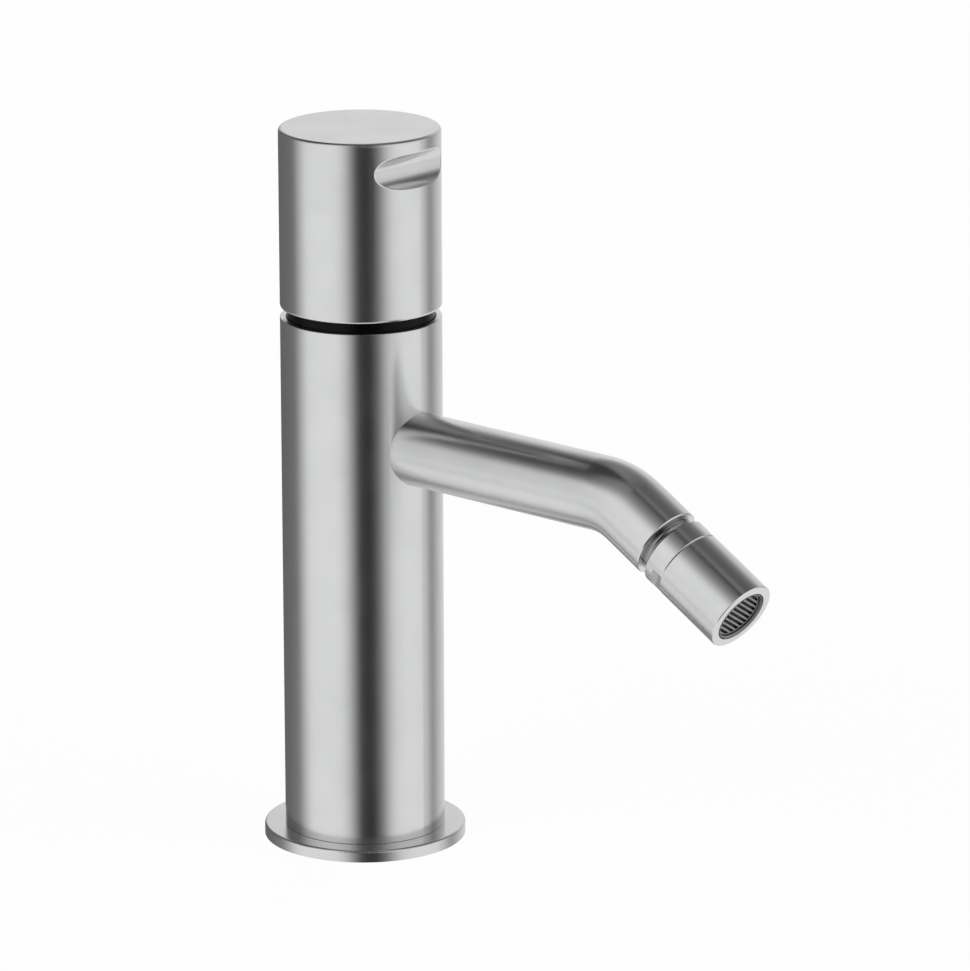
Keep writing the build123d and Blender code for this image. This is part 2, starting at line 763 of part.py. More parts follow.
def make_nozzle_housing():
    """The outer barrel of the nozzle, with a shoulder between the ball joint and the aerator."""
    barrel = post(nozzle_radius, collar_end, nozzle_end)
    ends = barrel.edges().filter_by(GeomType.CIRCLE).sort_by(Axis.Z)
    barrel = chamfer(ends[-1], nozzle_end_chamfer)
    edge = barrel.edges().filter_by(GeomType.CIRCLE).sort_by(Axis.Z)[0]
    barrel = chamfer(edge, seam_chamfer)
    barrel -= post(nozzle_radius - nozzle_wall, collar_end - overrun, shoulder_start)
    barrel -= post(shoulder_bore, collar_end, chamber_start + overrun)
    return along_nozzle(barrel - post(aerator_chamber_radius, chamber_start, nozzle_end + overrun))


# Aerator

def make_aerator_gasket():
    """The rubber washer under the aerator."""
    inner = insert_radius - aerator_gasket_width
    return along_nozzle(tube(insert_radius, inner, chamber_start, insert_start))


def make_aerator_insert():
    """The moulded body of the aerator: a flared rim round the outlet grid, with a seam outside it."""
    inner = insert_radius - aerator_wall
    seat = insert_radius - grid_seat_wall
    rim = insert_radius - aerator_seam_width
    seam_floor = nozzle_end - aerator_seam_depth
    profile = [(inner, insert_start), (insert_radius, insert_start), (insert_radius, seam_floor),
               (rim, seam_floor), (rim, nozzle_end), (rim - aerator_rim_wall, nozzle_end),
               (seat, grid_front), (seat, grid_back), (inner, grid_back)]
    return along_nozzle(turned(profile))


def barred_disc(low, high, bar, turn):
    """One layer of the outlet grid: parallel bars across a thin rim."""
    count = 2 * math.floor(grid_radius / grid_pitch) + 1
    places = [(index - (count - 1) / 2) * grid_pitch for index in range(count)]
    bars = [Pos(0, place) * Rectangle(2 * grid_radius, bar) for place in places]
    layer = Circle(grid_radius) - (Circle(grid_radius - grid_rim_wall) - bars)
    return Pos(0, 0, low) * (Rot(0, 0, turn) * extrude(layer, high - low))


def make_aerator_grid():
    """The fine grid that shows in the nozzle's end: bars one way in front of bars the other way."""
    front = barred_disc(grid_middle, grid_front, grid_front_bar, grid_turn)
    back = barred_disc(grid_back, grid_middle, grid_back_bar, grid_turn + grid_cross_turn)
    return along_nozzle(front + back)


def pierced_disc(low, high, turn):
    """A round screen with a field of square holes that stay clear of its edge."""
    side = screen_pitch - screen_bar
    count = 2 * math.ceil(screen_radius / screen_pitch) + 1
    limit = screen_radius - screen_bar / 2
    holes = []
    for column in range(count):
        for row in range(count):
            x = (column - (count - 1) / 2) * screen_pitch
            y = (row - (count - 1) / 2) * screen_pitch
            if math.hypot(abs(x) + side / 2, abs(y) + side / 2) < limit:
                holes.append(Pos(x, y) * Rectangle(side, side))
    plate = Circle(screen_radius) - holes
    return Pos(0, 0, low) * (Rot(0, 0, turn) * extrude(plate, high - low))


def make_aerator_screens():
    """The mesh screens behind the grid, each turned from the one before."""
    screens = []
    for index in range(screen_count):
        high = grid_back - screen_gap - index * (screen_thickness + screen_gap)
        turn = grid_turn + index * screen_turn
        screens.append(pierced_disc(high - screen_thickness, high, turn))
    return along_nozzle(Compound(screens))


def make_flow_diffuser():
    """The drilled plate that breaks the jet before the screens."""
    high = grid_back - screen_count * (screen_gap + screen_thickness) - diffuser_gap
    plate = post(screen_radius, high - diffuser_thickness, high)
    ring = screen_radius - diffuser_edge
    for index in range(diffuser_hole_count):
        angle = 2 * math.pi * index / diffuser_hole_count
        x = ring * math.cos(angle)
        y = ring * math.sin(angle)
        plate -= post_at(x, y, diffuser_hole_radius, high - diffuser_thickness - overrun, high + overrun)
    return along_nozzle(plate)


pieces = {
    "base_flange": make_base_flange,
    "base_gasket": make_base_gasket,
    "body_sleeve": make_body_sleeve,
    "waterway_core": make_waterway_core,
    "cartridge_base": make_cartridge_base,
    "cartridge_port_seals": make_port_seals,
    "fixed_ceramic_disc": make_fixed_disc,
    "moving_ceramic_disc": make_moving_disc,
    "disc_driver": make_disc_driver,
    "cartridge_housing": make_cartridge_housing,
    "cartridge_spindle": make_spindle,
    "spindle_o_ring": make_spindle_seal,
    "pivot_pin": make_pivot_pin,
    "lever_stem": make_lever_stem,
    "cartridge_nut": make_cartridge_nut,
    "neck_dome": make_neck_dome,
    "handle_knob": make_handle_knob,
    "handle_insert": make_handle_insert,
    "handle_set_screw": make_set_screw,
    "set_screw_cap": make_screw_cap,
    "spout_tube": make_spout_tube,
    "spout_nipple": make_spout_nipple,
    "spout_o_ring": make_spout_o_ring,
    "ball_stem": make_ball_stem,
    "stem_o_ring": make_stem_o_ring,
    "ball_seat_ring": make_ball_seat_ring,
    "seat_carrier": make_seat_carrier,
    "retaining_collar": make_retaining_collar,
    "nozzle_housing": make_nozzle_housing,
    "aerator_gasket": make_aerator_gasket,
    "aerator_insert": make_aerator_insert,
    "aerator_grid": make_aerator_grid,
    "aerator_screens": make_aerator_screens,
    "flow_diffuser": make_flow_diffuser,
}

os.makedirs("parts", exist_ok=True)
for name, make in pieces.items():
    export_step(make(), os.path.join("parts", name + ".step"))
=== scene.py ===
import json
import math

import bpy
import numpy as np
from mathutils import Matrix, Vector


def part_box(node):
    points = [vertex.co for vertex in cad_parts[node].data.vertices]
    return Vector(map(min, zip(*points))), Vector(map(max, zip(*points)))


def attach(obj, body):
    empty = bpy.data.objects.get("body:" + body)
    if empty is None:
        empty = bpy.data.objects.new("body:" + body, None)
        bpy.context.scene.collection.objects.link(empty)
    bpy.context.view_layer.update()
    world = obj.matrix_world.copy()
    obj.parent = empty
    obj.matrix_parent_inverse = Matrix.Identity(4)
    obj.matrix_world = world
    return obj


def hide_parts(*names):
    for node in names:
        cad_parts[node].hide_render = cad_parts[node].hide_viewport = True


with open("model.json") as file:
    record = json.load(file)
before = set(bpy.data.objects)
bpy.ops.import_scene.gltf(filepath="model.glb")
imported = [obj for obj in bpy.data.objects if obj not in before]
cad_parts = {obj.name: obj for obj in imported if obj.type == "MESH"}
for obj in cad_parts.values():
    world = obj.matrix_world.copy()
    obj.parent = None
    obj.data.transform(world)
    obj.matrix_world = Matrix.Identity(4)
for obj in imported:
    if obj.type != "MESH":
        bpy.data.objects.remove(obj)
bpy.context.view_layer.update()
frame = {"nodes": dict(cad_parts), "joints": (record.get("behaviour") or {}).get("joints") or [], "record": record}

# A deck-mounted bidet mixer in satin stainless steel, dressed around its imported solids.
# Lengths are in metres. The origin is the centre of the flange's underside, +Z is up and +X is the
# way the spout points. A value in another unit says so in its name or in the comment above it.

# The photograph's camera: angles in degrees, and the flange's centre along the axes of the view
camera_pitch = 15.716
camera_roll = -0.1815
camera_turn = 42.32
base_to_the_right = -0.030104
base_below = 0.086734
base_away = 1.68231
focal_length_px = 6683.6
image_long_side_px = 971
sensor_width_mm = 36.0
camera_reach = 20.0

# The spout's centre line: level, then a bend of so many degrees, then a falling leg
spout_level = 0.103
spout_bend_start = 0.079141
spout_bend_radius = 0.020
spout_drop_angle = 30.0

# Threads in the core's underside. The wedge's shares of the pitch are the levels of its lower foot,
# the two edges of its crest and its upper foot, and the end share is what is left of the depth at
# the thread's ends.
thread_pitch = 0.001
thread_depth = 0.0004
thread_root = 0.0001
thread_lead_in = 0.0006
thread_wedge_shares = (0.06, 0.44, 0.56, 0.94)
thread_end_share = 0.02
points_a_turn = 48
inlet_radius = 0.0045
inlet_depth = 0.014
inlet_x = 0.0040449
inlet_y = 0.0051773
stud_hole_radius = 0.0034
stud_hole_depth = 0.014
stud_x = -0.0105

# Ribs under the gasket
rib_count = 3
rib_depth = 0.0004
gasket_inner_radius = 0.0191
gasket_rings = 60
gasket_slices = 144

# The patterns on the surfaces. The drift is how much noise a turned line meets in each metre round
# its piece, and the range of the clouds' noise is spread over 0 to 1.
line_drift = 60.0
line_detail = 1.0
cloud_patches_a_metre = 90.0
cloud_detail = 3.0
cloud_noise_range = (0.3, 0.7)
skin_smoothness = 1.0
skin_detail = 2.0

# Edges, which wear makes smoother and which wear and a painted highlight make paler: how wide they are, the
# cosines of a normal's turn where wear starts and where it is full, and the breaks in them, where the least share
# of the wear is left
edge_reach = 0.00025
edge_samples = 2
edge_turn_range = (0.995, 0.9)
edge_breaks_a_metre = 900.0
edge_noise_range = (0.35, 0.6)
edge_least_share = 0.45

# The shares of the clouds and lines in a metal's tint, how much an edge's wear and painted highlight tint it paler
# and its wear smooths it, and how far a roughness varies each way
cloud_share = 0.6
line_share = 0.4
edge_tint_share = 0.7
edge_smoothing_share = 0.4
metal_roughness_share = 0.12
moulding_roughness_share = 0.15

# The painted shade deep in the aerator, black painted where its recess lies in shade: how far in from the outlet
# side it starts, and the length over which it fades in
insert_shade_start = 0.0003
insert_shade_fade = 0.00025
grid_shade_start = 0.00005
grid_shade_fade = 0.0001

# The refractive index of mouldings, and the lower one of the gloss black, which mirrors less: painted shade, which
# keeps the black parts as dark as the shade they sit in
moulding_index = 1.5
gloss_black_shade_index = 1.2

# The floor: half its side, how far it lies under the flange, and its own light for the camera,
# where 1 is white
floor_half_side = 3.0
floor_drop = 0.0002
floor_glow = 0.935


def grey(level):
    """An opaque grey of a level from 0 to 1."""
    return level, level, level, 1.0


steel_dark = (0.655, 0.658, 0.662, 1.0)
steel_light = (0.69, 0.693, 0.697, 1.0)
# The paler steel of edges: wear, and partly a painted highlight
steel_edge_wear_and_highlight = grey(0.82)
# Black painted as the shade deep in the aerator
painted_shade_black = grey(0.008)
floor_shade = grey(0.16)


def place_camera():
    """The camera looks down by the pitch, turned by the roll, with the flange's centre where it
    lies in the photograph: so far right, below and away along the three axes of the view."""
    pitch = math.radians(camera_pitch)
    roll = math.radians(camera_roll)
    turn = math.radians(camera_turn)
    across = np.array([math.cos(turn), math.sin(turn), 0.0])
    away = np.array([-math.sin(turn), math.cos(turn), 0.0])
    z = np.array([0.0, 0.0, 1.0])
    level_up = math.sin(pitch) * away + math.cos(pitch) * z
    forward = math.cos(pitch) * away - math.sin(pitch) * z
    right = math.cos(roll) * across + math.sin(roll) * level_up
    up = math.cos(roll) * level_up - math.sin(roll) * across
    place = -(base_to_the_right * right - base_below * up + base_away * forward)
    data = bpy.data.cameras.new("photo_camera")
    data.lens = focal_length_px * sensor_width_mm / image_long_side_px
    data.sensor_width = sensor_width_mm
    data.clip_end = camera_reach
    camera = bpy.data.objects.new("photo_camera", data)
    bpy.context.scene.collection.objects.link(camera)
    axes = np.column_stack([right, up, -forward])
    camera.matrix_world = Matrix.Translation(Vector(place)) @ Matrix(axes.tolist()).to_4x4()
    bpy.context.scene.camera = camera


# Node trees

# The kinds of a node group's sockets
number = "NodeSocketFloat"
vector = "NodeSocketVector"

# A Mix node's colour sockets by number, because it has sockets of the same names for other kinds
mix_first_colour = 6
mix_second_colour = 7
mix_colour_out = 2


class Net:
    """Makes and joins the nodes of one tree. A feed is another node's socket or a plain value."""

    def __init__(self, tree):
        self.tree = tree

    def feed(self, value, socket):
        if isinstance(value, bpy.types.NodeSocket):
            self.tree.links.new(value, socket)
        else:
            socket.default_value = value

    def make(self, kind, feeds=None, **settings):
        node = self.tree.nodes.new(kind)
        for name, value in settings.items():
            setattr(node, name, value)
        for key, value in (feeds or {}).items():
            self.feed(value, node.inputs[key])
        return node

    def maths(self, operation, *values):
        return self.make("ShaderNodeMath", dict(enumerate(values)), operation=operation).outputs[0]

    def joined(self, x, y, z):
        return self.make("ShaderNodeCombineXYZ", {"X": x, "Y": y, "Z": z}).outputs[0]

    def parts(self, value):
        return self.make("ShaderNodeSeparateXYZ", {0: value}).outputs

    def ramp(self, value, low, high, at_low, at_high, kind="LINEAR"):
        feeds = {"Value": value, "From Min": low, "From Max": high, "To Min": at_low,
                 "To Max": at_high}
        return self.make("ShaderNodeMapRange", feeds, interpolation_type=kind).outputs[0]

    def tint(self, share, first, second):
        feeds = {0: share, mix_first_colour: first, mix_second_colour: second}
        return self.make("ShaderNodeMix", feeds, data_type="RGBA").outputs[mix_colour_out]

    def effect(self, tree, feeds):
        return self.make("ShaderNodeGroup", feeds, node_tree=tree).outputs


def new_effect(name, inputs, outputs):
    """An empty node group. Its inputs are given as name, kind and usual value or None."""
    tree = bpy.data.node_groups.new(name, "ShaderNodeTree")
    for label, kind, usual in inputs:
        socket = tree.interface.new_socket(label, in_out="INPUT", socket_type=kind)
        if usual is not None:
            socket.default_value = usual
    for label in outputs:
        tree.interface.new_socket(label, in_out="OUTPUT", socket_type=number)
    net = Net(tree)
    return tree, net, net.make("NodeGroupInput").outputs, net.make("NodeGroupOutput").inputs


def make_turned_lines():
    """Fine lines round the Z axis: noise that changes quickly with the square root of x x + y y and
    with the height, and slowly with x + y, which drifts round the piece."""
    inputs = [("Place", vector, None), ("Lines per metre", number, None),
              ("Drift", number, line_drift)]
    tree, net, given, out = new_effect("turned_lines", inputs, ["Lines"])
    x, y, z = net.parts(given["Place"])
    squares = net.maths("ADD", net.maths("MULTIPLY", x, x), net.maths("MULTIPLY", y, y))
    radius = net.maths("SQRT", squares)
    across = net.joined(net.maths("MULTIPLY", radius, given["Lines per metre"]),
                        net.maths("MULTIPLY", z, given["Lines per metre"]),
                        net.maths("MULTIPLY", net.maths("ADD", x, y), given["Drift"]))
    noise = net.make("ShaderNodeTexNoise", {"Vector": across, "Scale": 1.0, "Detail": line_detail})
    net.feed(noise.outputs["Fac"], out["Lines"])
    return tree


def make_clouds():
    """Broad soft patches from 0 to 1, as polishing and handling leave on metal and plastic."""
    inputs = [("Place", vector, None), ("Patches per metre", number, cloud_patches_a_metre)]
    tree, net, given, out = new_effect("clouds", inputs, ["Cloud"])
    feeds = {"Vector": given["Place"], "Scale": given["Patches per metre"], "Detail": cloud_detail}
    noise = net.make("ShaderNodeTexNoise", feeds)
    cloud = net.ramp(noise.outputs["Fac"], *cloud_noise_range, 0.0, 1.0, "SMOOTHSTEP")
    net.feed(cloud, out["Cloud"])
    return tree


def make_edge_wear_and_highlight():
    """1 on edges and 0 on open surfaces: how far a rounded normal turns from the true one, which the cosine
    between them tells, times noise that breaks it up. It marks edge wear, and the paler tint that it drives is
    partly a painted highlight."""
    inputs = [("Place", vector, None), ("Breaks per metre", number, edge_breaks_a_metre)]
    tree, net, given, out = new_effect("edge_wear_and_highlight", inputs, ["Edge"])
    rounded = net.make("ShaderNodeBevel", {"Radius": edge_reach}, samples=edge_samples)
    true = net.make("ShaderNodeNewGeometry").outputs["Normal"]
    cosine = net.make("ShaderNodeVectorMath", {0: rounded.outputs[0], 1: true},
                      operation="DOT_PRODUCT")
    turned = net.ramp(cosine.outputs["Value"], *edge_turn_range, 0.0, 1.0)
    feeds = {"Vector": given["Place"], "Scale": given["Breaks per metre"]}
    noise = net.make("ShaderNodeTexNoise", feeds)
    breaks = net.ramp(noise.outputs["Fac"], *edge_noise_range, edge_least_share, 1.0)
    net.feed(net.maths("MULTIPLY", turned, breaks), out["Edge"])
    return tree


def make_moulded_skin():
    """The fine pebbled height of a moulded or rubber surface."""
    inputs = [("Place", vector, None), ("Pebbles per metre", number, None)]
    tree, net, given, out = new_effect("moulded_skin", inputs, ["Height"])
    feeds = {"Vector": given["Place"], "Scale": given["Pebbles per metre"]}
    pebbles = net.make("ShaderNodeTexVoronoi", {**feeds, "Smoothness": skin_smoothness},
                       feature="SMOOTH_F1")
    noise = net.make("ShaderNodeTexNoise", {**feeds, "Detail": skin_detail})
    net.feed(net.maths("ADD", pebbles.outputs["Distance"], noise.outputs["Fac"]), out["Height"])
    return tree


def make_spout_place():
    """The place on the spout as side, out and along: how far from the centre line sideways and
    outwards in the plane of the bend, and how far along it. Past the level run the angle round the
    bend's centre, held between 0 and the whole bend, gives the way along, and what lies past the
    bend is added."""
    inputs = [("Place", vector, None)]
    tree, net, given, out = new_effect("spout_place", inputs, ["Side", "Out", "Along"])
    x, y, z = net.parts(given["Place"])
    past = net.maths("SUBTRACT", x, spout_bend_start)
    rise = net.maths("SUBTRACT", z, spout_level - spout_bend_radius)
    angle = net.maths("ARCTAN2", past, rise)
    held = net.maths("MINIMUM", net.maths("MAXIMUM", angle, 0.0), math.radians(spout_drop_angle))
    sine = net.maths("SINE", held)
    cosine = net.maths("COSINE", held)
    outwards = net.maths("ADD", net.maths("MULTIPLY", past, sine),
                         net.maths("MULTIPLY", rise, cosine))
    onwards = net.maths("SUBTRACT", net.maths("MULTIPLY", past, cosine),
                        net.maths("MULTIPLY", rise, sine))
    along = net.maths("ADD", onwards, net.maths("MULTIPLY", held, spout_bend_radius))
    net.feed(y, out["Side"])
    net.feed(net.maths("SUBTRACT", outwards, spout_bend_radius), out["Out"])
    net.feed(along, out["Along"])
    return tree


turned_lines = make_turned_lines()
clouds = make_clouds()
edge_wear_and_highlight = make_edge_wear_and_highlight()
moulded_skin = make_moulded_skin()
spout_place = make_spout_place()


# Places that the patterns follow

def upright(net):
    """The place on a piece turned about the body's axis."""
    return net.make("ShaderNodeTexCoord").outputs["Object"]


def on_the_spout(net):
    """The place along the bent spout, as if it were straight along Z."""
    side, out, along = net.effect(spout_place, {"Place": upright(net)})
    return net.joined(side, out, along)


def nozzle_axis():
    """A point on the nozzle's own axis, and the axis's direction."""
    spin = next(joint for joint in frame["joints"] if joint["name"] == "nozzle_spin")
    return Vector(spin["pos_m"]), Vector(spin["axis"])


def on_the_nozzle(net):
    """The place on a piece turned about the nozzle's own axis, which becomes Z."""
    centre, axis = nozzle_axis()
    turn = axis.rotation_difference(Vector((0.0, 0.0, 1.0)))
    mapping = net.make("ShaderNodeMapping", {"Vector": upright(net)})
    mapping.inputs["Rotation"].default_value = turn.to_euler()
    mapping.inputs["Location"].default_value = -(turn @ centre)
    return mapping.outputs[0]


# Materials

def shader_of(material):
    """The sockets of a material's shader."""
    return material.node_tree.nodes["Principled BSDF"].inputs


def new_material(name, place):
    """A new material, its tree, its shader's sockets and the place that its patterns follow."""
    material = bpy.data.materials.new(name)
    material.use_nodes = True
    net = Net(material.node_tree)
    return material, net, shader_of(material), place(net)


def make_metal(name, place, dark, light, roughness, lines_a_metre, line_height, edge_wear_and_highlight_colour):
    """A turned metal: cloudy tint, lines in its roughness and height, and smoother edges, tinted paler by wear and
    by a painted highlight.
    """
    material, net, shader, where = new_material(name, place)
    cloud = net.effect(clouds, {"Place": where})["Cloud"]
    line = net.effect(turned_lines, {"Place": where, "Lines per metre": lines_a_metre})["Lines"]
    edge = net.effect(edge_wear_and_highlight, {"Place": where})["Edge"]
    mottled = net.maths("ADD", net.maths("MULTIPLY", cloud, cloud_share),
                        net.maths("MULTIPLY", line, line_share))
    # Edges tinted paler: wear, and partly a painted highlight
    worn_and_highlit = net.maths("MULTIPLY", edge, edge_tint_share)
    net.feed(net.tint(worn_and_highlit, net.tint(mottled, dark, light), edge_wear_and_highlight_colour), shader["Base Color"])
    satin = net.ramp(mottled, 0.0, 1.0, roughness * (1.0 + metal_roughness_share),
                     roughness * (1.0 - metal_roughness_share))
    smoother = net.maths("MULTIPLY", edge, roughness * edge_smoothing_share)
    net.feed(net.maths("SUBTRACT", satin, smoother), shader["Roughness"])
    bump = net.make("ShaderNodeBump", {"Height": line, "Distance": line_height})
    net.feed(bump.outputs[0], shader["Normal"])
    shader["Metallic"].default_value = 1.0
    return material


def make_moulding(name, place, dark, light, roughness, pebbles_a_metre, pebble_height,
                  index=moulding_index):
    """A moulded plastic, rubber or ceramic: pebbled skin, cloudy tint, and edges tinted paler by rubbing and by a
    painted highlight.
    """
    material, net, shader, where = new_material(name, place)
    cloud = net.effect(clouds, {"Place": where})["Cloud"]
    skin = net.effect(moulded_skin, {"Place": where, "Pebbles per metre": pebbles_a_metre})
    edge = net.effect(edge_wear_and_highlight, {"Place": where})["Edge"]
    # Edges lifted to the paler tint: rubbing, and partly a painted highlight
    net.feed(net.tint(net.maths("MAXIMUM", cloud, edge), dark, light), shader["Base Color"])
    satin = net.ramp(cloud, 0.0, 1.0, roughness * (1.0 + moulding_roughness_share),
                     roughness * (1.0 - moulding_roughness_share))
    net.feed(satin, shader["Roughness"])
    bump = net.make("ShaderNodeBump", {"Height": skin["Height"], "Distance": pebble_height})
    net.feed(bump.outputs[0], shader["Normal"])
    shader["IOR"].default_value = index
    return material


def make_pale_with_painted_shade(name, node, dark, light, roughness, front, fade):
    """A plastic of the aerator that is pale on its outlet side, with painted shade: black from a little way in,
    where the recess lies in shade. The depth is measured along the nozzle's axis from the node's outermost point,
    and the painted shade comes in from the front over the fade."""
    material = make_moulding(name, on_the_nozzle, dark, light, roughness, pebbles_a_metre=6000.0,
                             pebble_height=2e-6)
    net = Net(material.node_tree)
    shader = shader_of(material)
    pale = shader["Base Color"].links[0].from_socket
    centre, axis = nozzle_axis()
    points = [vertex.co - centre for vertex in frame["nodes"][node].data.vertices]
    outlet = max((point.dot(axis) for point in points), key=abs)
    along = net.parts(on_the_nozzle(net))["Z"]
    depth = net.maths("ABSOLUTE", net.maths("SUBTRACT", outlet, along))
    # Painted shade: black deeper in, where the aerator's recess lies in shade
    inside = net.ramp(depth, front, front + fade, 0.0, 1.0)
    net.feed(net.tint(inside, pale, painted_shade_black), shader["Base Color"])
    return material


def make_satin_steel(name, place):
    """The satin stainless steel of all that shows, turned along a place."""
    return make_metal(name, place, steel_dark, steel_light, roughness=0.22, lines_a_metre=7000.0,
                      line_height=1.5e-6, edge_wear_and_highlight_colour=steel_edge_wear_and_highlight)


def make_materials():
    """One material for each slot, one more for each other way that the satin steel is turned, and one for the ball
    stem, whose dark grey is painted shade."""
    return {
        "brushed_stainless": make_satin_steel("brushed_stainless", upright),
        "spout": make_satin_steel("brushed_stainless_spout", on_the_spout),
        "nozzle": make_satin_steel("brushed_stainless_nozzle", on_the_nozzle),
        "machined_steel": make_metal(
            "machined_steel", upright, dark=grey(0.42), light=grey(0.5), roughness=0.32,
            lines_a_metre=4000.0, line_height=4e-6, edge_wear_and_highlight_colour=grey(0.7)),
        "brass": make_metal(
            "brass", upright, dark=(0.60, 0.43, 0.19, 1.0), light=(0.74, 0.55, 0.27, 1.0),
            roughness=0.3, lines_a_metre=3500.0, line_height=5e-6,
            edge_wear_and_highlight_colour=(0.9, 0.74, 0.42, 1.0)),
        "ceramic": make_moulding(
            "ceramic", upright, dark=(0.80, 0.78, 0.73, 1.0), light=(0.88, 0.86, 0.82, 1.0),
            roughness=0.18, pebbles_a_metre=9000.0, pebble_height=1e-6),
        "cartridge_plastic": make_moulding(
            "cartridge_plastic", upright, dark=(0.72, 0.72, 0.70, 1.0),
            light=(0.82, 0.82, 0.80, 1.0), roughness=0.45, pebbles_a_metre=5000.0,
            pebble_height=4e-6),
        "seat_plastic": make_moulding(
            "seat_plastic", on_the_nozzle, dark=(0.82, 0.82, 0.79, 1.0),
            light=(0.90, 0.90, 0.87, 1.0), roughness=0.4, pebbles_a_metre=5000.0,
            pebble_height=3e-6),
        # The aerator's plastics carry painted shade, black a little way in from the outlet
        "aerator_plastic": make_pale_with_painted_shade(
            "aerator_plastic", "aerator_insert", dark=grey(0.66), light=grey(0.74), roughness=0.3,
            front=insert_shade_start, fade=insert_shade_fade),
        "grid_plastic": make_pale_with_painted_shade(
            "grid_plastic", "aerator_grid", dark=grey(0.86), light=grey(0.97), roughness=0.25,
            front=grid_shade_start, fade=grid_shade_fade),
        "cap_plastic": make_moulding(
            "cap_plastic", upright, dark=grey(0.38), light=grey(0.46), roughness=0.38,
            pebbles_a_metre=5000.0, pebble_height=4e-6),
        # The gloss black's low index is painted shade: it mirrors less than a moulding would, to stay as dark as
        # the gap's shade
        "gloss_black": make_moulding(
            "gloss_black", upright, dark=grey(0.003), light=grey(0.007), roughness=0.12,
            pebbles_a_metre=6000.0, pebble_height=1e-6, index=gloss_black_shade_index),
        # The ball stem's dark grey is painted shade: a polished steel darkened to the shade in the nozzle's groove
        "stem": make_metal(
            "polished_steel_painted_shade", upright, dark=grey(0.26), light=grey(0.34), roughness=0.09,
            lines_a_metre=6000.0, line_height=0.4e-6, edge_wear_and_highlight_colour=grey(0.5)),
        "black_rubber": make_moulding(
            "black_rubber", upright, dark=grey(0.022), light=grey(0.05), roughness=0.62,
            pebbles_a_metre=3000.0, pebble_height=8e-6),
    }


def dress_nodes():
    """Gives each CAD node its slot's material, with the satin steel turned as the piece is, and the ball stem a
    finer polish than the other machined steel and a darker grey, which is painted shade."""
    own_material = {"spout_tube": "spout", "retaining_collar": "nozzle", "nozzle_housing": "nozzle",
                    "ball_stem": "stem"}
    for part in frame["record"]["subparts"]:
        node = frame["nodes"][part["node"]]
        node.data.materials.clear()
        node.data.materials.append(materials[own_material.get(part["node"], part["material_slot"])])


# Pieces that the scene adds

def new_piece(name, points, faces, slot, body, smooth=True):
    """A mesh object at the origin, with one material, that rides on a body."""
    mesh = bpy.data.meshes.new(name)
    mesh.from_pydata(points.tolist(), [], faces)
    mesh.polygons.foreach_set("use_smooth", [smooth] * len(faces))
    mesh.materials.append(materials[slot])
    mesh.update()
    piece = bpy.data.objects.new(name, mesh)
    bpy.context.scene.collection.objects.link(piece)
    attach(piece, body)
    return piece


def loop_faces(rows, columns):
    """The four-sided faces of a grid of rows that are each a closed loop of columns."""
    row, column = np.meshgrid(np.arange(rows - 1), np.arange(columns), indexing="ij")
    first = row * columns + column
    second = row * columns + (column + 1) % columns
    faces = np.stack([first, second, second + columns, first + columns], axis=-1)
    return faces.reshape(-1, 4).tolist()


def make_thread(name, x, y, low, high, radius):
    """A thread's ridge: at angle a, four corners of a wedge stand on the wall of the hole, each of
    them at x + r cos a, y + r sin a, low + pitch (a / 2 pi + share). The wedge's two feet lie just
    inside the wall's metal and its narrow crest stands out by the depth, which grows from next to
    nothing over the first turn and shrinks again over the last. A face closes each end."""
    turns = (high - low - thread_pitch) / thread_pitch
    angle = np.linspace(0.0, 2 * math.pi * turns, int(points_a_turn * turns))[:, None]
    done = angle / (2 * math.pi)
    height = np.clip(np.minimum(done, turns - done), thread_end_share, 1.0) * thread_depth
    feet = np.full_like(angle, radius + thread_root)
    crest = radius - height
    r = np.concatenate([feet, crest, crest, feet], axis=1)
    z = low + thread_pitch * done + thread_pitch * np.array([thread_wedge_shares])
    points = np.stack([x + r * np.cos(angle), y + r * np.sin(angle), z], axis=-1).reshape(-1, 3)
    faces = loop_faces(len(angle), 4)
    end = 4 * (len(angle) - 1)
    faces += [[0, 3, 2, 1], [end, end + 1, end + 2, end + 3]]
    new_piece(name, points, faces, "brass", "body", smooth=False)


def make_gasket():
    """The gasket with ribs below: a loop round its section is turned about Z. The section runs in
    along the underside, where the height is the depth times the square of a sine that is 0 on each
    rib's crest, and back along the flat top."""
    low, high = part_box("base_gasket")
    share = np.linspace(0.0, 1.0, gasket_rings)
    outer = high.x
    radius_below = outer + (gasket_inner_radius - outer) * share
    height_below = low.z + rib_depth * np.sin(math.pi * (rib_count - 1) * share) ** 2
    radius = np.concatenate([radius_below, [gasket_inner_radius, outer]])
    height = np.concatenate([height_below, [high.z, high.z]])
    angle = np.linspace(0.0, 2 * math.pi, gasket_slices + 1)[:, None]
    height = np.broadcast_to(height, (len(angle), len(radius)))
    points = np.stack([radius * np.cos(angle), radius * np.sin(angle), height], axis=-1)
    faces = loop_faces(gasket_slices + 1, len(radius))
    piece = new_piece("base_gasket_ribbed", points.reshape(-1, 3), faces, "black_rubber", "body")
    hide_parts("base_gasket")


# The studio

